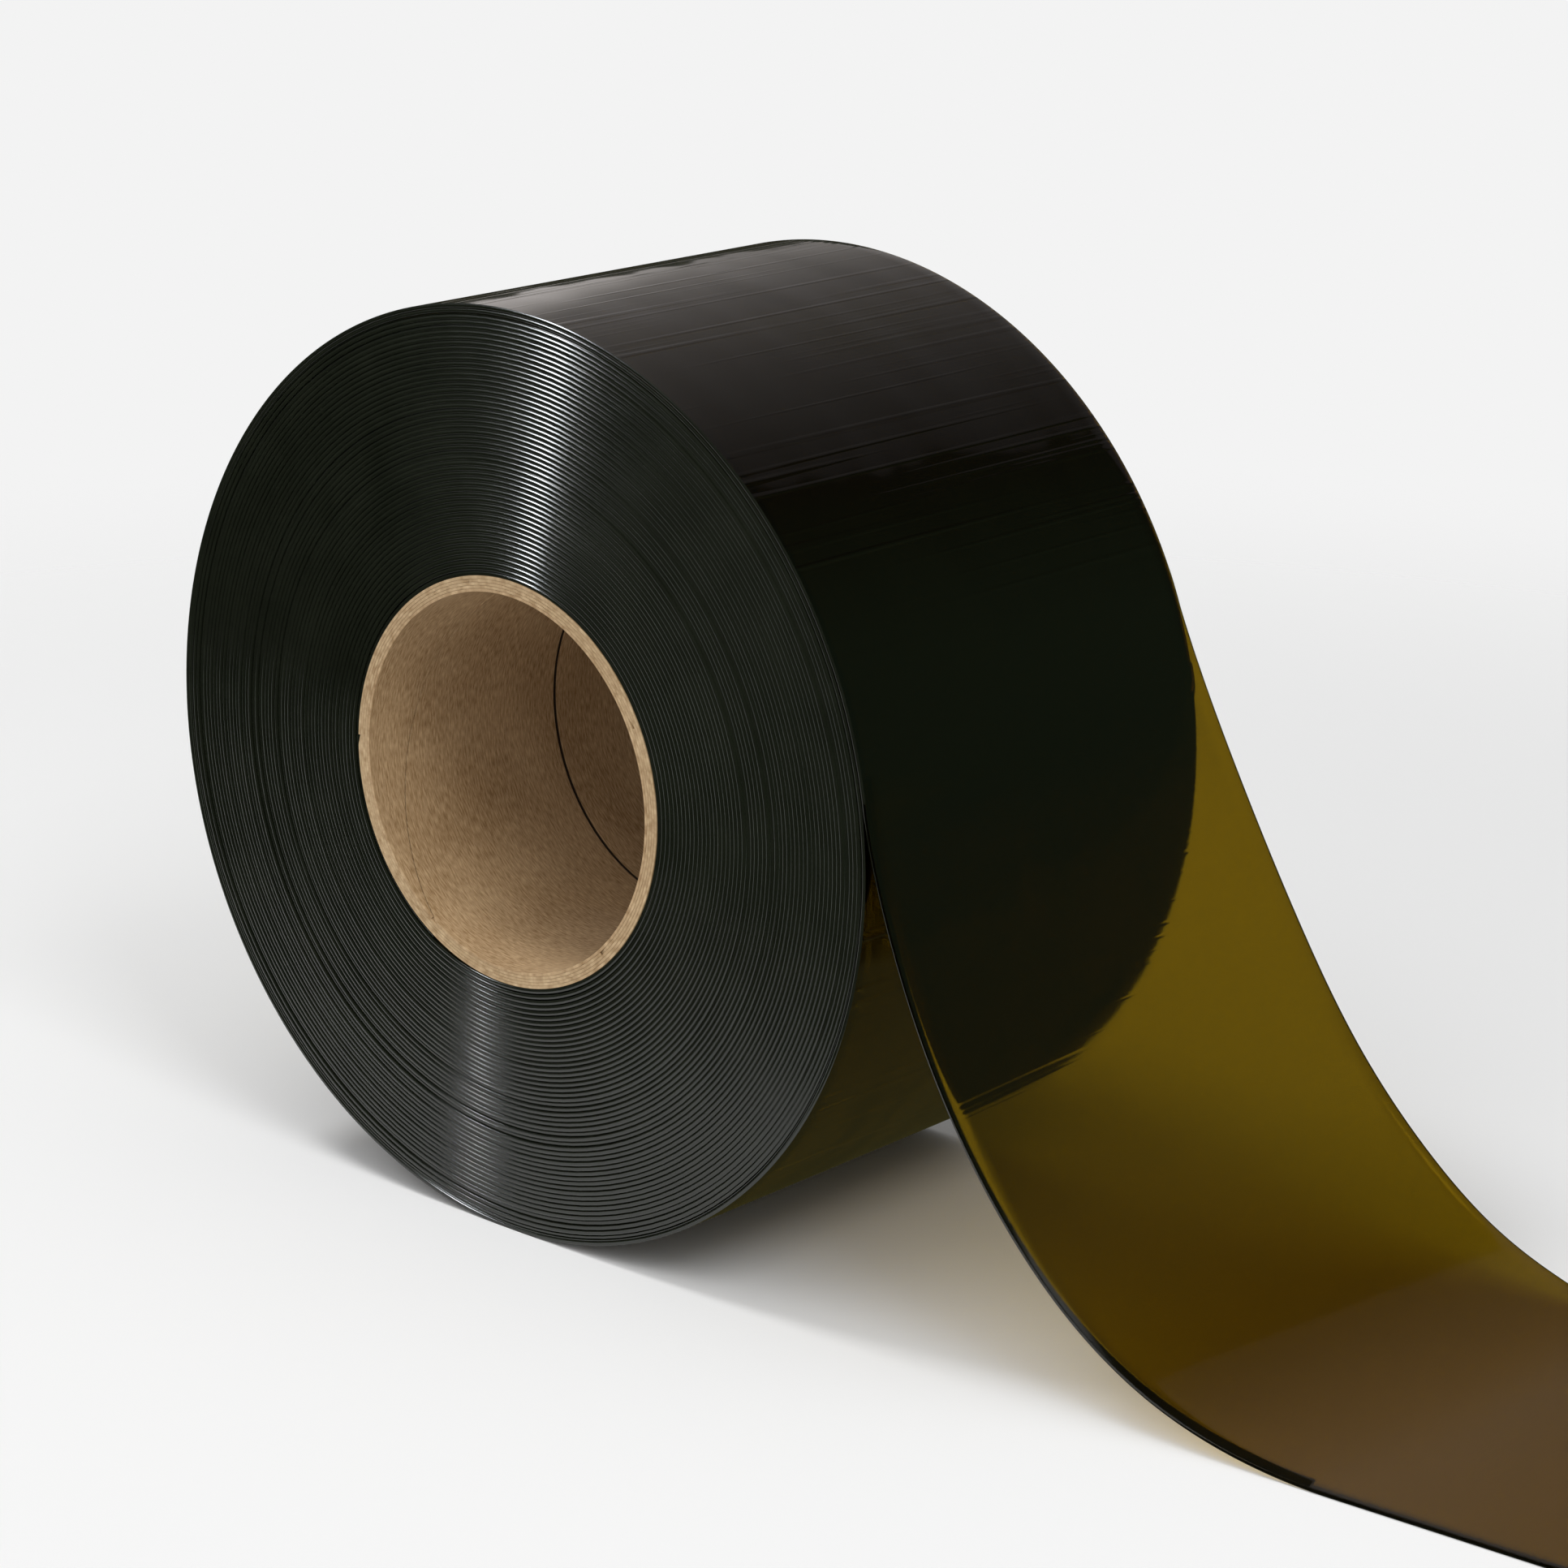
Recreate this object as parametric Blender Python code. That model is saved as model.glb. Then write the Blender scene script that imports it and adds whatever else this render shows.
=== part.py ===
"""Roll of tinted flexible PVC strip on a paperboard core, with the strip's free end run out flat on the floor.

Metres, +Z up. The origin is on the floor under the roll's axis. The axis is parallel to Y, the front end face is
at -Y, and the free end runs towards +X. Angles are seen from the front, from +X towards +Z.
"""

import math

import bmesh
import bpy
import numpy as np

MM = 0.001

# Driving dimensions.
STRIP_WIDTH = 200 * MM
STRIP_THICKNESS = 2 * MM
CORE_BORE_RADIUS = 76.2 * MM
CORE_OUTER_RADIUS = 82.5 * MM
TURNS = 53
TURNS_OUTSIDE_JOINT = 2
CORE_JOINT_Y = 5.6 * MM
CORE_JOINT_WIDTH = 0.5 * MM
PLIES = ("liner", "ply_1", "ply_2", "ply_3", "wrap")
PLY_PITCH = 137 * MM
PLY_SEAM_WIDTH = 0.6 * MM
GAP = 0.3 * MM
ROLL_JOINT_GAP = 0.5 * MM
SAG = 0.3 * MM

# Where the strip begins and ends on the roll, in degrees.
LEAVES_AT = 24.0
INNER_END_AT = 240.0
INNER_VOID_SPAN = 36.0

# The free end's two edges, on its lower face: where each leaves the roll, then X and height in millimetres down
# to where it touches the floor, and how far out it is cut off.
NEAR_EDGE = (8.0, [(197, 161), (221, 104), (247, 65), (273, 38), (310, 14.5), (349, 3), (385, 0)], 516)
FAR_EDGE = (20.0, [(203, 187), (233, 129), (260, 85.5), (295, 46), (328, 21), (359, 7.5), (395, 0)], 504)
SIDEWAYS_WALK = 0.062
FREE_END_STEPS = 48

ROLL_STEPS = 120
CORE_STEPS = 48

ROLL_RADIUS = CORE_OUTER_RADIUS + TURNS * STRIP_THICKNESS
JOINT_RADIUS = ROLL_RADIUS - TURNS_OUTSIDE_JOINT * STRIP_THICKNESS
HALF_WIDTH = STRIP_WIDTH / 2


def spiral_radius(degrees):
    """Outside of the outermost turn: it loses one strip thickness in the full turn after the free end leaves."""
    return ROLL_RADIUS - STRIP_THICKNESS * (degrees - LEAVES_AT) / 360


AXIS_HEIGHT = spiral_radius(270) - SAG


def around_axis(radius, degrees, y):
    angle = math.radians(degrees)
    return (radius * math.cos(angle), y, AXIS_HEIGHT + radius * math.sin(angle))


def principled(name, colour, roughness, transmission=0.0):
    material = bpy.data.materials.new(name)
    material.use_nodes = True
    shader = material.node_tree.nodes["Principled BSDF"]
    shader.inputs["Base Color"].default_value = (*colour, 1)
    shader.inputs["Roughness"].default_value = roughness
    shader.inputs["Metallic"].default_value = 0
    shader.inputs["Transmission Weight"].default_value = transmission
    return material


def pivot(name, place):
    """An empty on a joint's axis. What moves about it is parented to it."""
    empty = bpy.data.objects.new(name, None)
    empty.location = place
    bpy.context.collection.objects.link(empty)
    return empty


def lofted(name, sections, parent, material, closed):
    """A closed body through four-cornered sections: a full ring, or a band with two capped ends."""
    count = len(sections)
    origin = np.array(parent.location) if parent else np.zeros(3)
    corners = np.array(sections).reshape(-1, 3) - origin
    faces = [
        (4 * i + k, 4 * i + (k + 1) % 4, 4 * j + (k + 1) % 4, 4 * j + k)
        for i in range(count if closed else count - 1)
        for j in [(i + 1) % count]
        for k in range(4)
    ]
    if not closed:
        faces += [(3, 2, 1, 0), tuple(4 * count - 4 + k for k in range(4))]
    mesh = bpy.data.meshes.new(name)
    mesh.from_pydata(corners.tolist(), [], faces)
    shape = bmesh.new()
    shape.from_mesh(mesh)
    bmesh.ops.remove_doubles(shape, verts=shape.verts, dist=1e-6)
    bmesh.ops.recalc_face_normals(shape, faces=shape.faces)
    shape.to_mesh(mesh)
    shape.free()
    mesh.shade_smooth()
    mesh.set_sharp_from_angle(angle=math.radians(35))
    mesh.materials.append(material)
    body = bpy.data.objects.new(name, mesh)
    body.parent = parent
    bpy.context.collection.objects.link(body)
    return body


def core_ply(name, inner, outer, front, back, seam_at, parent, material):
    """One board ply wound as a helix: a parallelogram rolled up until its slanted sides meet in a butt seam.

    Seen from the front the seam turns clockwise on its way back. Column j of the ribbon is j facets from the
    seam's start, and spans from the seam one turn earlier, or the front end, to the seam, or the back end.
    """
    facet = 360 / CORE_STEPS
    crossed = round((back - front) / PLY_PITCH * CORE_STEPS)
    rise = (back - front) / crossed
    sections = []
    for j in range(1, CORE_STEPS + crossed):
        low = front + max(0, j - CORE_STEPS) * rise
        high = min(back, front + j * rise - PLY_SEAM_WIDTH)
        at = seam_at - j * facet
        sections.append(
            [
                around_axis(inner, at, low),
                around_axis(inner, at, high),
                around_axis(outer, at, high),
                around_axis(outer, at, low),
            ]
        )
    return lofted(name, sections, parent, material, closed=False)


def core_tube(side, front, back, seam_at, parent, material):
    """One length of core: five plies glued inside one another, their seams spread round the tube."""
    pitch = (CORE_OUTER_RADIUS - CORE_BORE_RADIUS + GAP) / len(PLIES)
    for number, ply in enumerate(PLIES):
        inner = CORE_BORE_RADIUS + number * pitch
        seam = seam_at + number * 75
        core_ply(f"{side}_core_{ply}", inner, inner + pitch - GAP, front, back, seam, parent, material)


def wound_strip(parent, material):
    """The turns that rotate with the core: round outside, and inside round but for the hollow past the inner end."""
    bore = CORE_OUTER_RADIUS + GAP
    facet = 360 / ROLL_STEPS
    sections = []
    for j in range(ROLL_STEPS + 1):
        at = INNER_END_AT + j * facet
        hollow = max(0.0, 1 - j * facet / INNER_VOID_SPAN) ** 2 * STRIP_THICKNESS
        if j == ROLL_STEPS:
            hollow = 0.0
        sections.append(ring_section(bore + hollow, JOINT_RADIUS - ROLL_JOINT_GAP, at))
    return lofted("wound_strip", sections, parent, material, closed=True)


def ring_section(inner, outer, at):
    return [
        around_axis(inner, at, -HALF_WIDTH),
        around_axis(inner, at, HALF_WIDTH),
        around_axis(outer, at, HALF_WIDTH),
        around_axis(outer, at, -HALF_WIDTH),
    ]


def outer_turn(material):
    """The turns that stay with the free end. The last one ends in a step, where the free end carries on."""
    facet = 360 / ROLL_STEPS
    sections = []
    for j in range(ROLL_STEPS + 1):
        at = LEAVES_AT + j * facet
        section = ring_section(JOINT_RADIUS, spiral_radius(at), at)
        # The roll's weight flattens its lowest line.
        sections.append([(x, y, max(z, 0.0)) for x, y, z in section])
    return lofted("outer_turn", sections, None, material, closed=True)


def smooth_route(points, start_way, end_way):
    """Fine points along a cubic spline through the given ones, whose two ends run in the given directions."""
    chord = np.linalg.norm(np.diff(points, axis=0), axis=1)
    at = np.concatenate([[0], np.cumsum(chord)])
    last = len(points) - 1
    slopes = np.diff(points, axis=0) / chord[:, None]
    system, target = np.zeros((last + 1, last + 1)), np.zeros_like(points)
    system[0, :2], target[0] = (2 * chord[0], chord[0]), 6 * (slopes[0] - start_way)
    system[last, -2:], target[last] = (chord[-1], 2 * chord[-1]), 6 * (end_way - slopes[-1])
    for i in range(1, last):
        system[i, i - 1 : i + 2] = chord[i - 1], 2 * (chord[i - 1] + chord[i]), chord[i]
        target[i] = 6 * (slopes[i] - slopes[i - 1])
    bend = np.linalg.solve(system, target)
    s = np.linspace(0, at[-1], 600)
    k = np.clip(np.searchsorted(at, s, side="right") - 1, 0, last - 1)
    h, before, after = chord[k][:, None], (at[k + 1] - s)[:, None], (s - at[k])[:, None]
    curve = (bend[k] * before**3 + bend[k + 1] * after**3) / (6 * h)
    return curve + (points[k] / h - bend[k] * h / 6) * before + (points[k + 1] / h - bend[k + 1] * h / 6) * after


def edge_route(leaves_at, down, cut_at, start_at):
    """One edge of the free end's lower face, as X, Z and the length run since it left the roll, evenly spaced.

    It follows the roll to where it leaves, falls along a smooth curve and runs straight along the floor.
    """
    radius = ROLL_RADIUS - STRIP_THICKNESS + GAP
    turned = np.radians(np.linspace(start_at, leaves_at, 40))
    on_roll = np.stack([radius * np.cos(turned), AXIS_HEIGHT + radius * np.sin(turned)], axis=1)
    start_way = np.array([math.sin(turned[-1]), -math.cos(turned[-1])])
    falling = smooth_route(np.concatenate([on_roll[-1:], np.array(down) * MM]), start_way, np.array([1.0, 0.0]))
    fine = np.concatenate([on_roll, falling[1:], [(cut_at * MM, 0.0)]])
    length = np.concatenate([[0], np.cumsum(np.linalg.norm(np.diff(fine, axis=0), axis=1))])
    even = np.linspace(0, length[-1], FREE_END_STEPS)
    since_left = np.maximum(even - length[len(on_roll) - 1], 0)
    return np.interp(even, length, fine[:, 0]), np.interp(even, length, fine[:, 1]), since_left


def free_end(parent, material):
    """The run-out strip: a band ruled between its two edges, walking slightly sideways, laid flat at its end."""
    start_at = LEAVES_AT - math.degrees(GAP / ROLL_RADIUS)
    lines = []
    for side, edge in ((-HALF_WIDTH, NEAR_EDGE), (HALF_WIDTH, FAR_EDGE)):
        x, z, since_left = edge_route(*edge, start_at)
        along = np.stack([np.gradient(x), np.gradient(z)])
        along /= np.linalg.norm(along, axis=0)
        z = np.maximum(z, 0)
        rise = STRIP_THICKNESS - GAP
        y = side + SIDEWAYS_WALK * since_left
        lines.append(np.stack([x, y, z], axis=1))
        lines.append(np.stack([x - rise * along[1], y, z + rise * along[0]], axis=1))
    near_low, near_top, far_low, far_top = lines
    sections = np.stack([near_low, far_low, far_top, near_top], axis=1)
    return lofted("free_end", sections, parent, material, closed=False)


def build():
    for thing in list(bpy.data.objects):
        bpy.data.objects.remove(thing, do_unlink=True)
    board = principled("kraft paperboard", (0.54, 0.38, 0.22), 0.85)
    wound = principled("tinted PVC, wound", (0.012, 0.016, 0.015), 0.2)
    clear = principled("tinted PVC, single layer", (0.2, 0.11, 0.004), 0.15, transmission=0.6)

    roll_axis = pivot("roll_axis", (0, 0, AXIS_HEIGHT))
    half_joint = CORE_JOINT_WIDTH / 2
    core_tube("front", -HALF_WIDTH, CORE_JOINT_Y - half_joint, 240, roll_axis, board)
    core_tube("rear", CORE_JOINT_Y + half_joint, HALF_WIDTH, 15, roll_axis, board)
    wound_strip(roll_axis, wound)
    outer_turn(wound)

    lift_line = pivot("free_end_line", around_axis(ROLL_RADIUS, LEAVES_AT, 0))
    free_end(lift_line, clear)


build()
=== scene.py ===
"""Looks of a roll of tinted flexible PVC strip on a paperboard core, its free end run out on the floor.

Metres, +Z up. The roll's axis is parallel to Y, the front end face is at -Y and the free end runs towards
+X. Angles are seen from the front, from +X towards +Z. Going outwards, the strip winds clockwise.
"""

import math

import bpy
import numpy as np
from mathutils import Matrix, Vector


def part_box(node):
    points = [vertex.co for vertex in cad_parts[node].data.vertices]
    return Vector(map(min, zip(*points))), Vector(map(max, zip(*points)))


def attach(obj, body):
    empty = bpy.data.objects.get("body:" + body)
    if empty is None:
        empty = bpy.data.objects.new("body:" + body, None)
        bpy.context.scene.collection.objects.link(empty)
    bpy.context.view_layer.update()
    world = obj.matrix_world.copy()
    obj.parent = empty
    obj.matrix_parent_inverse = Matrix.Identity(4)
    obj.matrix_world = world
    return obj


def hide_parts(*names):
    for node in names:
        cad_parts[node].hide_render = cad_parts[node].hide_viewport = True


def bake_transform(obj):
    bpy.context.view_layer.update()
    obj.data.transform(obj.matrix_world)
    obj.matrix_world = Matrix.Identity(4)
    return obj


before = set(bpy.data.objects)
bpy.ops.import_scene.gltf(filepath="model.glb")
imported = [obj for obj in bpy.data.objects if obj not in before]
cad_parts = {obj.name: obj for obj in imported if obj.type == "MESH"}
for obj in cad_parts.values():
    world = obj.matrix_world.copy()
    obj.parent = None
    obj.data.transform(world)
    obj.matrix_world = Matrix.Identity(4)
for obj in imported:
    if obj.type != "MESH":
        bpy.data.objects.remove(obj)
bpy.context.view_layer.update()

MM = 0.001

# Driving dimensions, as the frame has them. The wound turns rotate inside the outside strip on the
# joint's circle.
HALF_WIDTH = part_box("outer_turn")[1].y
AXIS_HEIGHT = sum(corner.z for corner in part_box("rear_core_wrap")) / 2
STRIP_THICKNESS = 2 * MM
CORE_BORE_RADIUS = 76.2 * MM
CORE_OUTER_RADIUS = 82.5 * MM
ROLL_RADIUS = 188.5 * MM
JOINT_RADIUS = 184.2 * MM
JOINT_CLEARANCE = 0.15 * MM

# The strip's cut edges are round, and rounder on the side that faces out of the roll.
OUTER_SHOULDER = 0.8 * MM
INNER_SHOULDER = 0.15 * MM

# Degrees round the roll: where the free end leaves it, where the strip's inner end is, and how far the
# void beside that end reaches.
LEAVES_AT = 24.0
INNER_END_AT = 240.0
INNER_VOID_SPAN = 36.0

# Whole turns from the inner end to where the free end leaves, and the pitch that fits them on the core.
FULL_TURNS = 51 + (INNER_END_AT - LEAVES_AT) / 360
PITCH = (ROLL_RADIUS - STRIP_THICKNESS - CORE_OUTER_RADIUS) / FULL_TURNS

# The free end's two edges, on its lower face: where each leaves the roll, then X and height in
# millimetres down to where it touches the floor, and how far out it is cut off.
NEAR_EDGE = (8.0, [(197, 161), (221, 104), (247, 65), (273, 38), (310, 14.5), (349, 3), (385, 0)], 516)
FAR_EDGE = (20.0, [(203, 187), (233, 129), (260, 85.5), (295, 46), (328, 21), (359, 7.5), (395, 0)], 504)

# The free end walks sideways too, by this much for each metre of its length.
SIDEWAYS_WALK = 0.062

# Thin air: between faces that would otherwise coincide, and under the free end on the floor.
HAIR = 0.02 * MM

# The core: two tube lengths end to end, each of five board plies wound as helices. The gap between the
# lengths is wider than the frame's, and the shade in it is painted dark on the board to either side, so
# that the joint reads.
PLIES = ("liner", "ply_1", "ply_2", "ply_3", "wrap")
PLY_PITCH = 137 * MM
PLY_SEAM = 0.45 * MM
CORE_JOINT_Y = 5.6 * MM
CORE_JOINT_WIDTH = 1.0 * MM
# How far to either side of the joint the board carries the painted shade of the gap.
CORE_JOINT_SHADE_REACH = 0.7 * MM
PLY_GLUE_LINE = 0.05 * MM
PLY_BEVEL = 0.12 * MM
SEAM_SPREAD = 75

# Steps in one turn of the wound turns, of the outside strip and of a ply, then along the whole free end.
WOUND_STEPS = 120
OUTER_STEPS = 300
PLY_STEPS = 240
FREE_STEPS = 220

# The camera looks at the roll from its front right.
CAMERA_AZIMUTH = 43.2
CAMERA_ELEVATION = 15.99
CAMERA_DISTANCE = 1.7622
CAMERA_AIM = (0.0357, 0.0247, 0.1665)
CAMERA_ROLL = 0.215
LENS = 99.5


def linear(colour):
    """sRGB hex, such as #c2a681, as the linear RGBA that a shader socket takes."""
    srgb = np.array([int(colour[i : i + 2], 16) for i in (1, 3, 5)]) / 255
    rgb = np.where(srgb <= 0.04045, srgb / 12.92, ((srgb + 0.055) / 1.055) ** 2.4)
    return (*rgb.tolist(), 1.0)


def add(tree, kind, inputs=None, **settings):
    """A new node with its settings. Each input is a value, or the socket that it is linked from."""
    node = tree.nodes.new(kind)
    for name, value in settings.items():
        setattr(node, name, value)
    for name, value in (inputs or {}).items():
        if isinstance(value, bpy.types.NodeSocket):
            tree.links.new(value, node.inputs[name])
        else:
            node.inputs[name].default_value = value
    return node


def new_material(name):
    """An empty material, its node tree and its Principled shader."""
    material = bpy.data.materials.new(name)
    material.use_nodes = True
    return material, material.node_tree, material.node_tree.nodes["Principled BSDF"]


def around_axis(radius, degrees, y):
    """Points at these radii and angles round the roll's axis, as an array of X, Y and Z."""
    angle = np.radians(degrees)
    radius, angle, y = np.broadcast_arrays(radius, angle, y)
    return np.stack([radius * np.cos(angle), y, AXIS_HEIGHT + radius * np.sin(angle)], axis=-1)


def body(name, rings, uv, materials, second=None, sharp=40):
    """A closed body through rings of points: each joins the next, and the first and last are capped.

    The rings may turn either way: where the volume that they hold comes out negative, every face is
    turned round. second has a row for each stretch between two rings and a column for each place round a
    ring. The faces where it is 1 take the second material, and so do both caps.
    """
    count, around = rings.shape[:2]
    index = np.arange(count * around).reshape(count, around)
    beside = np.roll(index, -1, axis=1)
    quads = np.stack([index[:-1], beside[:-1], beside[1:], index[1:]], axis=-1).reshape(-1, 4)
    points = rings.reshape(-1, 3)
    a, b, c, d = (points[quads[:, k]] - points[0] for k in range(4))
    volume = np.einsum("ij,ij->", np.cross(a, b), c) + np.einsum("ij,ij->", np.cross(a, c), d)
    caps = np.stack([index[0, ::-1], index[-1]])
    if volume < 0:
        quads, caps = quads[:, ::-1], caps[:, ::-1]
    corners = np.concatenate([quads.ravel(), caps.ravel()]).astype(np.int32)
    starts = np.concatenate([4 * np.arange(len(quads)), 4 * len(quads) + around * np.arange(2)])
    mesh = bpy.data.meshes.new(name)
    mesh.vertices.add(len(points))
    mesh.vertices.foreach_set("co", points.astype(np.float32).ravel())
    mesh.loops.add(len(corners))
    mesh.loops.foreach_set("vertex_index", corners)
    mesh.polygons.add(len(starts))
    mesh.polygons.foreach_set("loop_start", starts.astype(np.int32))
    mesh.update(calc_edges=True)
    if second is not None:
        slots = np.concatenate([second.ravel(), [1, 1]]).astype(np.int32)
        mesh.polygons.foreach_set("material_index", slots)
    layer = mesh.uv_layers.new(name="UVMap")
    layer.data.foreach_set("uv", uv.reshape(-1, 2)[corners].astype(np.float32).ravel())
    mesh.shade_smooth()
    mesh.set_sharp_from_angle(angle=math.radians(sharp))
    for material in materials:
        mesh.materials.append(material)
    piece = bpy.data.objects.new(name, mesh)
    bpy.context.scene.collection.objects.link(piece)
    return piece


# Points across a cut edge, from the inner face at -1 to the outer one at 1, and how far in each lies: a
# quarter ellipse on either side of the middle.
EDGE_AT = np.sin(np.radians(np.linspace(-90, 90, 7)))
EDGE_DEPTH = np.where(EDGE_AT > 0, OUTER_SHOULDER, INNER_SHOULDER) * (1 - np.sqrt(1 - EDGE_AT**2))


def climb(turns):
    """How many pitches the strip has risen after so many turns.

    The first turn lies flat on the core, then climbs over the strip's own inner end in the last few
    degrees of the turn, as the square of the way through them. The turns above repeat that climb, and it
    softens exponentially, turn by turn, into an even spiral.
    """
    softening_turns = 5
    whole, part = np.floor(turns), turns % 1
    late = np.clip((part - (1 - INNER_VOID_SPAN / 360)) * 360 / INNER_VOID_SPAN, 0, 1) ** 2
    even = 1 - np.exp(-turns / softening_turns)
    return whole + late * (1 - even) + part * even


def edge_wander(turns):
    """How far each turn sits behind the roll's front end face.

    A slow drift, drawn at every sixth turn, plus a small scatter from turn to turn. About one turn in ten
    is set back further.
    """
    drift_spread, turn_spread, set_back = 0.16, 0.09, 0.55
    set_back_share = 0.1
    rng = np.random.default_rng(7)
    at = np.arange(0, FULL_TURNS + 4)
    drift = np.interp(at, at[::6], rng.normal(0, drift_spread, len(at[::6])))
    single = rng.normal(0, turn_spread, len(at)) + set_back * (rng.random(len(at)) < set_back_share)
    return np.interp(turns, at, drift + single) * MM


def wound_turns(material):
    """The turns that rotate with the core, as one strip: its section carried along the spiral.

    Radius grows by a pitch a turn, and the outer face is held inside the joint's circle, so the strip
    thins out to almost nothing where the outside strip takes over. At the rear the turns wander half as
    far.
    """
    stops_short, rear_share = 0.03, 0.5
    last = (JOINT_RADIUS - CORE_OUTER_RADIUS) / PITCH - stops_short
    turns = np.linspace(0, last, round(last * WOUND_STEPS) + 1)
    inner = CORE_OUTER_RADIUS + HAIR + PITCH * climb(turns)
    outer = np.minimum(inner + STRIP_THICKNESS - HAIR / 2, JOINT_RADIUS)
    middle, half = (inner + outer)[:, None] / 2, (outer - inner)[:, None] / 2
    wander = edge_wander(turns)[:, None]
    thick = half / (STRIP_THICKNESS / 2)
    radius = np.concatenate([middle + half * EDGE_AT, middle + half * EDGE_AT[::-1]], axis=1)
    front = -HALF_WIDTH + wander + EDGE_DEPTH * thick
    rear = HALF_WIDTH + wander * rear_share - (EDGE_DEPTH * thick)[:, ::-1]
    across = np.concatenate([front, rear], axis=1)
    rings = around_axis(radius, (INNER_END_AT - 360 * turns)[:, None], across)
    run = np.concatenate([[0], np.cumsum(np.diff(turns) * math.tau * (inner[1:] + inner[:-1]) / 2)])
    uv = np.stack(np.broadcast_arrays(run[:, None], across), axis=-1)
    return body("wound_turns", rings, uv, [material], sharp=60)


def smooth_route(points, start_way, end_way):
    """Fine points along a cubic spline through the given ones, whose two ends run in the given directions."""
    chord = np.linalg.norm(np.diff(points, axis=0), axis=1)
    at = np.concatenate([[0], np.cumsum(chord)])
    last = len(points) - 1
    slopes = np.diff(points, axis=0) / chord[:, None]
    system, target = np.zeros((last + 1, last + 1)), np.zeros_like(points)
    system[0, :2], target[0] = (2 * chord[0], chord[0]), 6 * (slopes[0] - start_way)
    system[last, -2:], target[last] = (chord[-1], 2 * chord[-1]), 6 * (end_way - slopes[-1])
    for i in range(1, last):
        system[i, i - 1 : i + 2] = chord[i - 1], 2 * (chord[i - 1] + chord[i]), chord[i]
        target[i] = 6 * (slopes[i] - slopes[i - 1])
    bend = np.linalg.solve(system, target)
    fine_steps = 600
    s = np.linspace(0, at[-1], fine_steps)
    k = np.clip(np.searchsorted(at, s, side="right") - 1, 0, last - 1)
    h, before, after = chord[k][:, None], (at[k + 1] - s)[:, None], (s - at[k])[:, None]
    curve = (bend[k] * before**3 + bend[k + 1] * after**3) / (6 * h)
    curve += (points[k] / h - bend[k] * h / 6) * before
    return curve + (points[k + 1] / h - bend[k + 1] * h / 6) * after


def edge_route(side, leaves_at, down, cut_at):
    """One edge of the free end's lower face, as points evenly spaced along it, and its unit normals.

    It follows the roll, a little slack, to where it leaves. Then it falls along a smooth curve and runs
    straight along the floor, and it walks sideways evenly with its length.
    """
    slack, steps_on_roll = 0.1 * MM, 60
    radius = ROLL_RADIUS - STRIP_THICKNESS + slack
    turned = np.radians(np.linspace(LEAVES_AT, leaves_at, steps_on_roll))
    on_roll = np.stack([radius * np.cos(turned), AXIS_HEIGHT + radius * np.sin(turned)], axis=1)
    start_way = np.array([math.sin(turned[-1]), -math.cos(turned[-1])])
    floor_way = np.array([1.0, 0.0])
    falling = smooth_route(np.concatenate([on_roll[-1:], np.array(down) * MM]), start_way, floor_way)
    fine = np.concatenate([on_roll, falling[1:], [(cut_at * MM, 0.0)]])
    length = np.concatenate([[0], np.cumsum(np.linalg.norm(np.diff(fine, axis=0), axis=1))])
    even = np.linspace(0, length[-1], FREE_STEPS)
    x, z = (np.interp(even, length, fine[:, k]) for k in (0, 1))
    along = np.stack([np.gradient(x), np.gradient(z)])
    along /= np.linalg.norm(along, axis=0)
    y = side + SIDEWAYS_WALK * np.maximum(even - length[len(on_roll) - 1], 0)
    points = np.stack([x, y, np.maximum(z, 0)], axis=1)
    return points, np.stack([-along[1], 0 * x, along[0]], axis=1), even


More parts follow.
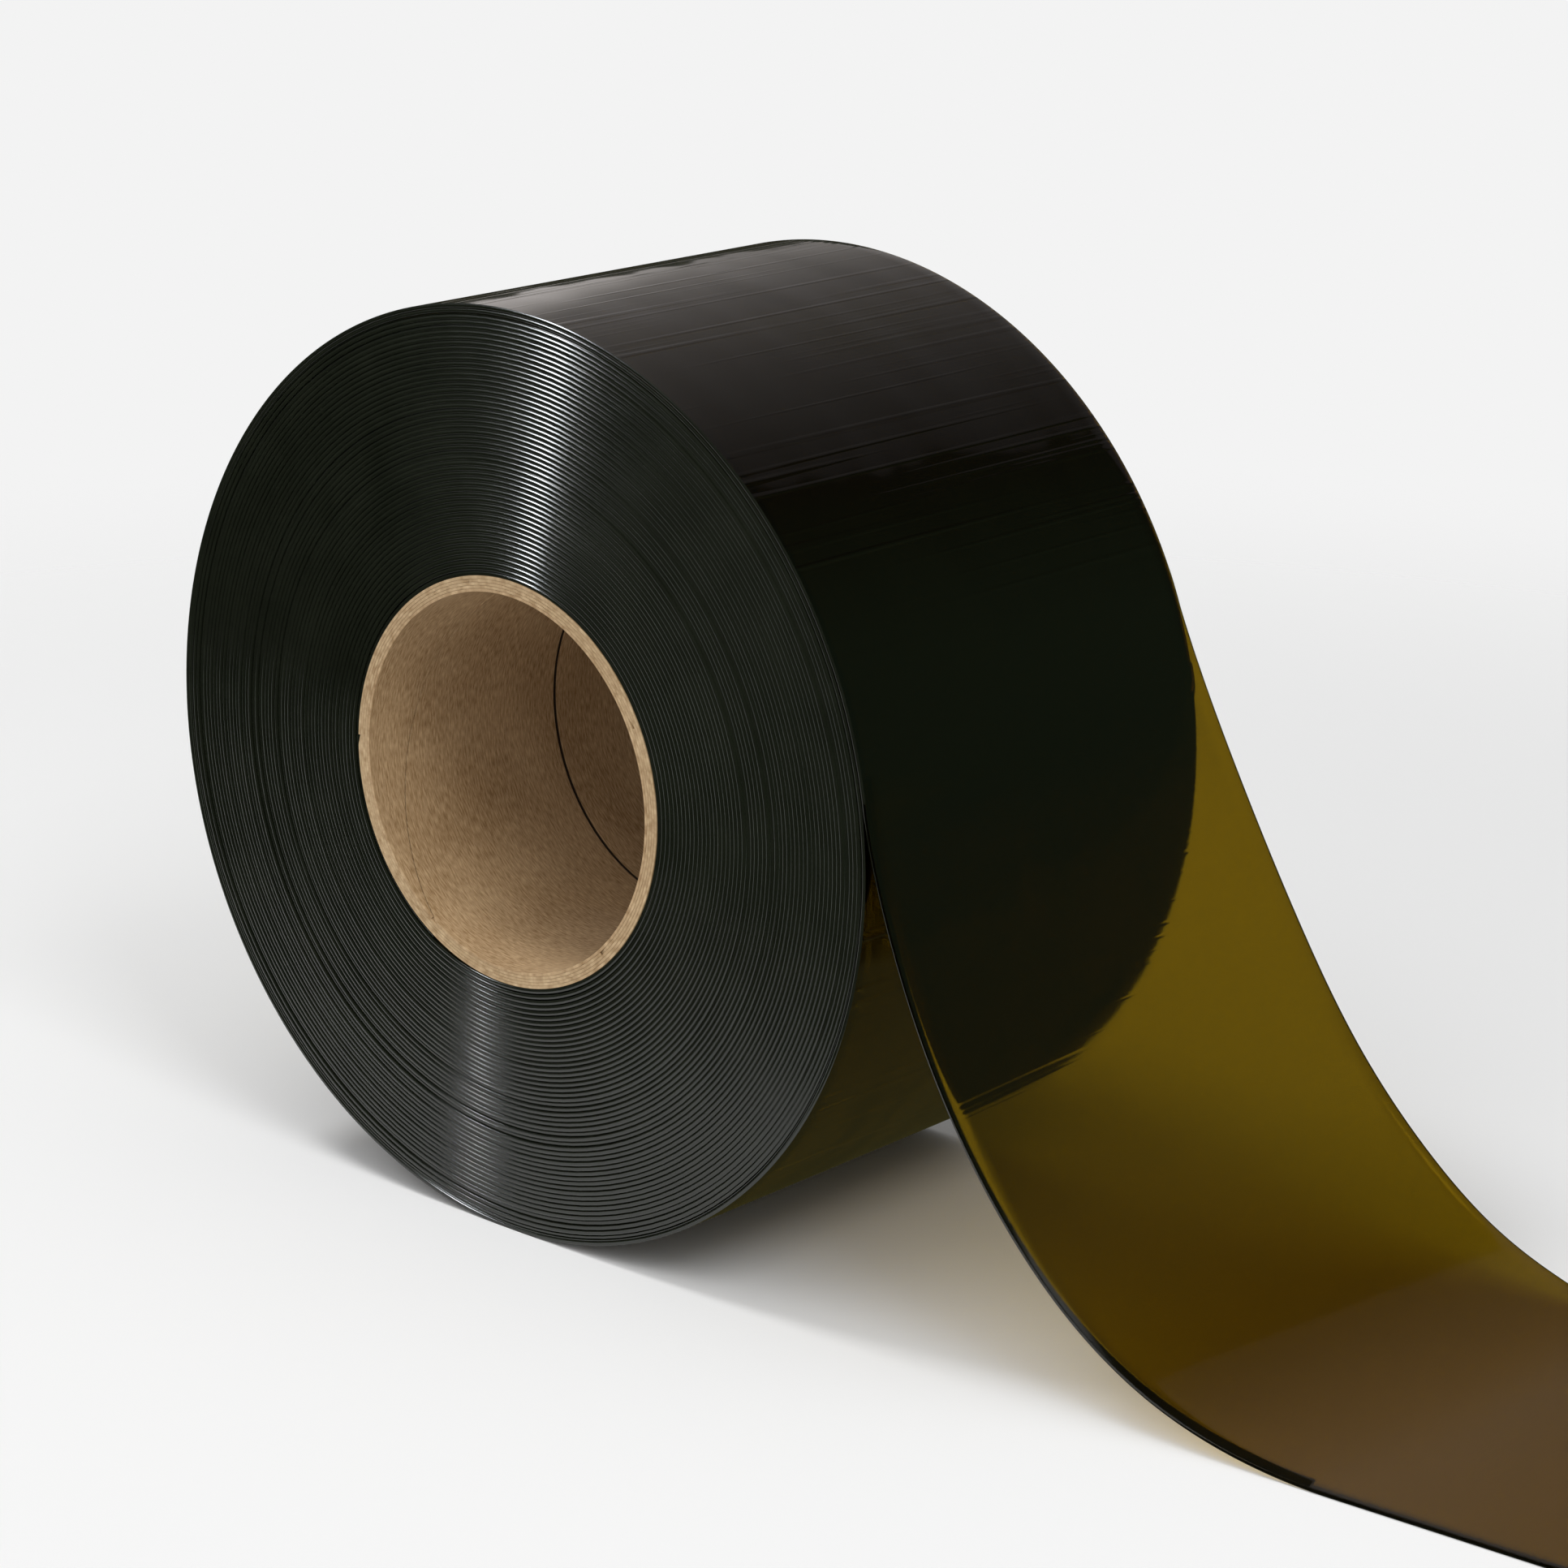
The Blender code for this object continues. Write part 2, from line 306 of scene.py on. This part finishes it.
def outside_strip(materials):
    """The last two turns and the free end, as one strip: a section carried along its two edges' routes.

    On the roll both edges lie on the spiral, no further in than the joint's circle. Each ring of the
    section runs out along the lower face, round the far edge, back along the upper face and round the
    near edge.

    The cut edges take the look of the deep turns: the whole edge on the roll and just past it, and only
    its lower half further out on the free end.
    """
    start_thickness, dark_until, points_across = 0.2 * MM, 0.05, 25
    first = (JOINT_RADIUS + JOINT_CLEARANCE + start_thickness - STRIP_THICKNESS - CORE_OUTER_RADIUS) / PITCH
    turns = np.linspace(first, FULL_TURNS, round((FULL_TURNS - first) * OUTER_STEPS))[:-1]
    spiral = CORE_OUTER_RADIUS + PITCH * turns
    inner = np.maximum(spiral, JOINT_RADIUS + JOINT_CLEARANCE)
    at = INNER_END_AT - 360 * turns
    on_roll = [around_axis(inner, at, side) for side in (-HALF_WIDTH, HALF_WIDTH)]
    outwards = around_axis(1.0, at, 0.0) - around_axis(0.0, at, 0.0)
    near, near_up, run = edge_route(-HALF_WIDTH, *NEAR_EDGE)
    far, far_up, _ = edge_route(HALF_WIDTH, *FAR_EDGE)
    near, far = np.concatenate([on_roll[0], near]), np.concatenate([on_roll[1], far])
    near_up, far_up = np.concatenate([outwards, near_up]), np.concatenate([outwards, far_up])
    thick = np.concatenate([spiral + STRIP_THICKNESS - inner, np.full(FREE_STEPS, STRIP_THICKNESS)])
    length = np.concatenate([(turns - turns[-1]) * math.tau * ROLL_RADIUS, run])

    flat = np.linspace(-1, 1, points_across)[1:-1]
    share = np.concatenate([flat, 1 - EDGE_DEPTH / HALF_WIDTH, flat[::-1], EDGE_DEPTH / HALF_WIDTH - 1])
    lift = np.concatenate([0 * flat, (EDGE_AT + 1) / 2, 0 * flat + 1, (1 - EDGE_AT) / 2])
    share = (share[None, :, None] + 1) / 2
    base = near[:, None] * (1 - share) + far[:, None] * share
    up = near_up[:, None] * (1 - share) + far_up[:, None] * share
    up /= np.linalg.norm(up, axis=-1, keepdims=True)
    rings = base + up * (lift[None, :] * thick[:, None])[..., None]
    rings[..., 2] = np.maximum(rings[..., 2], HAIR)
    uv = np.stack(np.broadcast_arrays(length[:, None], rings[..., 1]), axis=-1)
    edge = np.concatenate([0 * flat, EDGE_AT < 1, 0 * flat, EDGE_AT < 1])
    low_edge = np.concatenate([0 * flat, EDGE_AT < 0, 0 * flat, (EDGE_AT >= 0) & (EDGE_AT < 1)])
    dark = np.where(length[1:, None] < dark_until, edge, low_edge)
    return body("outside_strip", rings, uv, materials, second=dark, sharp=60), length[-1] - length[0]


def core_ply(name, inner, outer, front, back, seam_at, material):
    """One board ply wound as a helix: a parallelogram rolled up until its slanted sides meet in a seam.

    Seen from the front the seam turns clockwise on its way back. Ring j of the ribbon is j facets from
    the seam's start, and spans from the seam one turn earlier, or the front end, to the seam, or the back
    end. Rings too narrow for their two bevels are left out.
    """
    rise = PLY_PITCH / PLY_STEPS
    steps = np.arange(1, PLY_STEPS + round((back - front) / rise))
    low = front + np.maximum(0, steps - PLY_STEPS) * rise
    high = np.minimum(back, front + steps * rise - PLY_SEAM)
    bevel = PLY_BEVEL
    narrowest = 3 * bevel
    kept = high - low > narrowest
    low, high, at = low[kept], high[kept], (seam_at - steps * 360 / PLY_STEPS)[kept]
    bevelled = [inner + bevel, outer - bevel]
    radius = np.array([inner, inner, *bevelled, outer, outer, *bevelled[::-1]])
    y = np.stack([low + bevel, high - bevel, high, high, high - bevel, low + bevel, low, low], axis=1)
    rings = around_axis(radius, at[:, None], y)
    run = np.radians(seam_at - at) * inner
    uv = np.stack(np.broadcast_arrays(run[:, None], y), axis=-1)
    return body(name, rings, uv, [material], sharp=30)


def core_tube(side, front, back, seam_at, materials):
    """One length of core: five plies glued inside one another, their seams spread round the tube."""
    pitch = (CORE_OUTER_RADIUS - CORE_BORE_RADIUS) / len(PLIES)
    for number, ply in enumerate(PLIES):
        inner = CORE_BORE_RADIUS + number * pitch
        node = f"{side}_core_{ply}"
        outer = inner + pitch - PLY_GLUE_LINE
        seam = seam_at + number * SEAM_SPREAD
        piece = core_ply(node + "_board", inner, outer, front, back, seam, materials[number > 0])
        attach(piece, "roll")
        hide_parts(node)


def wound_pvc():
    """Plasticised PVC, extruded and wound many layers deep.

    The tint adds up over the layers until it reads as bottle green near black, under a smooth gloss that
    varies a little from place to place.
    """
    material, tree, shader = new_material("plasticised PVC, extruded, wound deep")
    where = add(tree, "ShaderNodeTexCoord")
    cloud = add(tree, "ShaderNodeTexNoise", {"Vector": where.outputs["Object"], "Scale": 40.0, "Detail": 3.0})
    tint = add(
        tree,
        "ShaderNodeMix",
        {0: cloud.outputs[0], 6: linear("#0f120b"), 7: linear("#1f2219")},
        data_type="RGBA",
    )
    gloss = add(tree, "ShaderNodeMapRange", {"Value": cloud.outputs[0], "To Min": 0.11, "To Max": 0.17})
    tree.links.new(tint.outputs[2], shader.inputs["Base Color"])
    tree.links.new(gloss.outputs[0], shader.inputs["Roughness"])
    shader.inputs["IOR"].default_value = 1.53
    return material


def single_pvc():
    """One layer of the same plasticised PVC: a clear amber olive, glossy, slightly wavy from extrusion.

    On the roll it also has fine creases from winding, which run across its width. Waves and creases fade
    where the free end leaves, and little is left of them on it. Lamps shine through it as through a far
    paler tint, so that the shade on the floor stays light.
    """
    material, tree, shader = new_material("plasticised PVC, extruded, one layer")
    where = add(tree, "ShaderNodeTexCoord")
    wave_way = add(tree, "ShaderNodeMapping", {"Vector": where.outputs["UV"], "Scale": (13.0, 24.0, 1.0)})
    wave = add(tree, "ShaderNodeTexNoise", {"Vector": wave_way.outputs[0], "Scale": 1.0, "Detail": 1.0})
    line_way = add(tree, "ShaderNodeMapping", {"Vector": where.outputs["UV"], "Scale": (260.0, 3.0, 1.0)})
    line = add(tree, "ShaderNodeTexNoise", {"Vector": line_way.outputs[0], "Scale": 1.0, "Detail": 1.0})
    crease = add(
        tree,
        "ShaderNodeMapRange",
        {"Value": line.outputs[0], "From Min": 0.55, "From Max": 0.72, "To Max": 0.11},
    )
    height = add(tree, "ShaderNodeMath", {0: wave.outputs[0], 1: crease.outputs[0]}, operation="ADD")
    parts = add(tree, "ShaderNodeSeparateXYZ", {0: where.outputs["UV"]})
    wound = add(
        tree,
        "ShaderNodeMapRange",
        {"Value": parts.outputs["X"], "From Min": -0.03, "From Max": 0.03, "To Min": 1.0, "To Max": 0.15},
    )
    bump = add(
        tree,
        "ShaderNodeBump",
        {"Height": height.outputs[0], "Strength": wound.outputs[0], "Distance": 1.1 * MM},
    )
    tree.links.new(bump.outputs[0], shader.inputs["Normal"])
    shader.inputs["Base Color"].default_value = linear("#735a05")
    shader.inputs["Roughness"].default_value = 0.08
    shader.inputs["IOR"].default_value = 1.53
    shader.inputs["Transmission Weight"].default_value = 1.0
    ray = add(tree, "ShaderNodeLightPath")
    lamp_side = add(tree, "ShaderNodeBsdfTransparent", {"Color": linear("#e4dfd8")})
    both = add(
        tree,
        "ShaderNodeMixShader",
        {0: ray.outputs["Is Shadow Ray"], 1: shader.outputs[0], 2: lamp_side.outputs[0]},
    )
    tree.links.new(both.outputs[0], tree.nodes["Material Output"].inputs["Surface"])
    return material


def kraft_board(name, light, dark):
    """Spirally wound kraft board: matt tan fibres a few millimetres long, lying round the core.

    They show in soft patches. Close to the joint between the two lengths of core, the shade in the gap is
    painted dark on the board.
    """
    material, tree, shader = new_material(name)
    where = add(tree, "ShaderNodeTexCoord")
    along = add(tree, "ShaderNodeMapping", {"Vector": where.outputs["UV"], "Scale": (250.0, 1400.0, 1.0)})
    fibre = add(tree, "ShaderNodeTexNoise", {"Vector": along.outputs[0], "Scale": 1.0, "Detail": 4.0})
    patch = add(tree, "ShaderNodeTexNoise", {"Vector": where.outputs["Object"], "Scale": 30.0, "Detail": 2.0})
    both = add(
        tree, "ShaderNodeMath", {0: patch.outputs[0], 1: 0.3, 2: fibre.outputs[0]}, operation="MULTIPLY_ADD"
    )
    spread = add(tree, "ShaderNodeMapRange", {"Value": both.outputs[0], "From Min": 0.45, "From Max": 0.85})
    tint = add(
        tree, "ShaderNodeMix", {0: spread.outputs[0], 6: linear(dark), 7: linear(light)}, data_type="RGBA"
    )
    bump = add(tree, "ShaderNodeBump", {"Height": fibre.outputs[0], "Strength": 0.5, "Distance": 0.15 * MM})
    parts = add(tree, "ShaderNodeSeparateXYZ", {0: where.outputs["Object"]})
    # Painted shade: near the joint the board is painted dark brown, standing in for the shadow in the gap.
    at_joint = add(
        tree,
        "ShaderNodeMath",
        {0: parts.outputs["Y"], 1: CORE_JOINT_Y, 2: CORE_JOINT_SHADE_REACH},
        operation="COMPARE",
    )
    painted_joint_shade = add(
        tree,
        "ShaderNodeMix",
        {0: at_joint.outputs[0], 6: tint.outputs[2], 7: linear("#2a1e12")},
        data_type="RGBA",
    )
    tree.links.new(painted_joint_shade.outputs[2], shader.inputs["Base Color"])
    tree.links.new(bump.outputs[0], shader.inputs["Normal"])
    shader.inputs["Roughness"].default_value = 0.85
    return material


def floor():
    """A pale matt board that the roll stands on, in three bands edge to edge.

    It thins out far away, where the even background takes over. Only the band just in front of the roll
    shows in gloss, and the rear band gives no bounce light.
    """
    material, tree, shader = new_material("white painted board, matt")
    shader.inputs["Base Color"].default_value = linear("#f6f6f6")
    shader.inputs["Roughness"].default_value = 0.7
    shader.inputs["Specular IOR Level"].default_value = 0.1
    where = add(tree, "ShaderNodeTexCoord")
    distance = add(tree, "ShaderNodeVectorMath", {0: where.outputs["Object"]}, operation="LENGTH")
    fade = add(
        tree,
        "ShaderNodeMapRange",
        {"Value": distance.outputs["Value"], "From Min": 0.55, "From Max": 1.4, "To Min": 1.0, "To Max": 0.0},
        interpolation_type="SMOOTHSTEP",
    )
    tree.links.new(fade.outputs[0], shader.inputs["Alpha"])
    size, mirrored_from, mirrored_to = 2.5, -0.28, -HALF_WIDTH
    bands = {
        "front": (-size, mirrored_from),
        "near": (mirrored_from, mirrored_to),
        "rear": (mirrored_to, size),
    }
    for side, (front, rear) in bands.items():
        mesh = bpy.data.meshes.new("floor_" + side)
        corners = [(-size, front, 0), (size, front, 0), (size, rear, 0), (-size, rear, 0)]
        mesh.from_pydata(corners, [], [(0, 1, 2, 3)])
        mesh.materials.append(material)
        band = bpy.data.objects.new("floor_" + side, mesh)
        band.visible_glossy = side == "near"
        band.visible_diffuse = side != "rear"
        bpy.context.scene.collection.objects.link(band)


def background():
    """An even pale surround where it is seen straight.

    As ambient light it is stronger from the front and above. In gloss it is faint: palest at the left,
    green at the right, brown low down at the rear and darker below the horizon.
    """
    brightest_from = (0.1, -0.65, 0.75)
    world = bpy.data.worlds.new("pale surround")
    world.use_nodes = True
    bpy.context.scene.world = world
    tree = world.node_tree
    sky = tree.nodes["Background"]
    ray = add(tree, "ShaderNodeLightPath")
    way = add(tree, "ShaderNodeTexCoord")
    ahead = add(
        tree,
        "ShaderNodeVectorMath",
        {0: way.outputs["Generated"], 1: brightest_from},
        operation="DOT_PRODUCT",
    )
    ambient = add(
        tree,
        "ShaderNodeMapRange",
        {"Value": ahead.outputs["Value"], "From Min": 0.2, "From Max": 1.0, "To Min": 0.1, "To Max": 1.3},
    )
    parts = add(tree, "ShaderNodeSeparateXYZ", {0: way.outputs["Generated"]})
    dim = add(
        tree,
        "ShaderNodeMapRange",
        {"Value": parts.outputs["X"], "From Min": -0.4, "From Max": 0.4, "To Min": 0.045, "To Max": 0.012},
    )
    low = add(
        tree,
        "ShaderNodeMapRange",
        {"Value": parts.outputs["Z"], "From Min": -0.2, "From Max": 0.05, "To Min": 0.15, "To Max": 1.0},
    )
    faint = add(tree, "ShaderNodeMath", {0: dim.outputs[0], 1: low.outputs[0]}, operation="MULTIPLY")
    cool = add(
        tree,
        "ShaderNodeMix",
        {0: faint.outputs[0], 6: (0.0, 0.0, 0.0, 1.0), 7: (1.0, 1.08, 0.84, 1.0)},
        data_type="RGBA",
    )
    right = add(tree, "ShaderNodeMapRange", {"Value": parts.outputs["X"], "From Min": 0.2, "From Max": 0.6})
    rear = add(tree, "ShaderNodeMapRange", {"Value": parts.outputs["Y"], "From Min": 0.0, "From Max": 0.2})
    under = add(tree, "ShaderNodeMapRange", {"Value": parts.outputs["Z"], "From Min": 0.0, "From Max": -0.35})
    rear_under = add(tree, "ShaderNodeMath", {0: rear.outputs[0], 1: under.outputs[0]}, operation="MULTIPLY")
    floor_side = add(
        tree,
        "ShaderNodeMapRange",
        {"Value": parts.outputs["X"], "From Min": -0.5, "From Max": 0.3, "To Min": 0.3, "To Max": 1.0},
    )
    brown = add(
        tree,
        "ShaderNodeMix",
        {0: floor_side.outputs[0], 6: (0.0, 0.0, 0.0, 1.0), 7: (0.12, 0.105, 0.035, 1.0)},
        data_type="RGBA",
    )
    green = add(
        tree,
        "ShaderNodeMix",
        {0: right.outputs[0], 6: cool.outputs[2], 7: (0.06, 0.095, 0.055, 1.0)},
        data_type="RGBA",
    )
    olive = add(
        tree,
        "ShaderNodeMix",
        {0: rear_under.outputs[0], 6: green.outputs[2], 7: brown.outputs[2]},
        data_type="RGBA",
    )
    mirrored = add(
        tree,
        "ShaderNodeMath",
        {0: ray.outputs["Is Glossy Ray"], 1: ray.outputs["Is Transmission Ray"]},
        operation="SUBTRACT",
        use_clamp=True,
    )
    gloss = add(
        tree,
        "ShaderNodeMix",
        {0: mirrored.outputs[0], 6: ambient.outputs[0], 7: olive.outputs[2]},
        data_type="RGBA",
    )
    seen = add(
        tree,
        "ShaderNodeMix",
        {0: ray.outputs["Is Camera Ray"], 6: gloss.outputs[2], 7: linear("#f3f3f3")},
        data_type="RGBA",
    )
    tree.links.new(seen.outputs[2], sky.inputs["Color"])


def rear_card():
    """A pale card behind the roll, bright at its left and fading to the right. Only gloss shows it."""
    left, right, rear, bottom, top = -1.3, 0.42, 1.0, 0.46, 2.0
    mesh = bpy.data.meshes.new("rear_card")
    corners = [(left, rear, bottom), (right, rear, bottom), (right, rear, top), (left, rear, top)]
    mesh.from_pydata(corners, [], [(0, 1, 2, 3)])
    card = bpy.data.objects.new("rear_card", mesh)
    bpy.context.scene.collection.objects.link(card)
    material, tree, shader = new_material("lit card")
    tree.nodes.remove(shader)
    where = add(tree, "ShaderNodeTexCoord")
    parts = add(tree, "ShaderNodeSeparateXYZ", {0: where.outputs["Object"]})
    fade = add(
        tree,
        "ShaderNodeMapRange",
        {"Value": parts.outputs["X"], "From Min": -0.95, "From Max": right, "To Min": 0.37, "To Max": 0.085},
    )
    bright_end = add(
        tree,
        "ShaderNodeMapRange",
        {"Value": parts.outputs["X"], "From Min": -0.92, "From Max": -1.1, "To Min": 0.0, "To Max": 0.4},
        interpolation_type="SMOOTHSTEP",
    )
    level = add(tree, "ShaderNodeMath", {0: fade.outputs[0], 1: bright_end.outputs[0]}, operation="ADD")
    glow = add(tree, "ShaderNodeEmission", {"Color": linear("#fff8f4"), "Strength": level.outputs[0]})
    tree.links.new(glow.outputs[0], tree.nodes["Material Output"].inputs["Surface"])
    mesh.materials.append(material)
    card.visible_camera = card.visible_diffuse = card.visible_transmission = card.visible_shadow = False


def softbox(name, place, aim, width, height, radiance, colour="#ffffff", in_diffuse=True, in_gloss=True):
    """A rectangular area light at a place, facing a point, as bright as the given radiance.

    It can be left out of matt light or out of gloss.
    """
    data = bpy.data.lights.new(name, "AREA")
    data.shape = "RECTANGLE"
    data.size, data.size_y = width, height
    data.energy = radiance * math.pi * width * height
    data.color = linear(colour)[:3]
    lamp = bpy.data.objects.new(name, data)
    lamp.location = place
    lamp.visible_diffuse, lamp.visible_glossy = in_diffuse, in_gloss
    lamp.rotation_euler = (Vector(aim) - Vector(place)).to_track_quat("-Z", "Y").to_euler()
    bpy.context.scene.collection.objects.link(lamp)


def camera():
    """A long lens at the front right, a little above, turned about its own line of sight by CAMERA_ROLL."""
    azimuth, elevation = math.radians(CAMERA_AZIMUTH), math.radians(CAMERA_ELEVATION)
    level = math.cos(elevation)
    back = Vector((math.sin(azimuth) * level, -math.cos(azimuth) * level, math.sin(elevation)))
    data = bpy.data.cameras.new("camera")
    data.lens = LENS
    data.sensor_width = 36
    eye = bpy.data.objects.new("camera", data)
    place = Vector((0, 0, AXIS_HEIGHT)) + back * CAMERA_DISTANCE
    turn = (Vector(CAMERA_AIM) - place).to_track_quat("-Z", "Y").to_matrix().to_4x4()
    eye.matrix_world = Matrix.Translation(place) @ turn @ Matrix.Rotation(math.radians(CAMERA_ROLL), 4, "Z")
    bpy.context.scene.collection.objects.link(eye)
    bpy.context.scene.camera = eye


deep = wound_pvc()
wound = wound_turns(deep)
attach(wound, "roll")
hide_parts("wound_strip")

strip, strip_length = outside_strip([single_pvc(), deep])
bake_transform(strip)
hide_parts("outer_turn", "free_end")

boards = (
    kraft_board("kraft board liner", "#c6a982", "#8d6e47"),
    kraft_board("kraft board ply", "#c6ab85", "#957750"),
)
half_joint = CORE_JOINT_WIDTH / 2
core_tube("front", -HALF_WIDTH, CORE_JOINT_Y - half_joint, 240, boards)
core_tube("rear", CORE_JOINT_Y + half_joint, HALF_WIDTH, 15, boards)

floor()
background()
rear_card()
softbox("left softbox", (-0.95, -0.42, 2.1), (0, 0, 0.15), 0.45, 0.45, 20.5)
softbox("right softbox", (1.6, -0.75, 1.85), (0, 0, 0.15), 0.8, 0.8, 7.0, in_gloss=False)
softbox("tall strip light", (-0.9, -1.2, 0.9), (0, 0, 0.3), 0.1, 1.0, 52.0, "#f4f9ff", in_diffuse=False)
camera()
bpy.context.scene.view_settings.view_transform = "Standard"
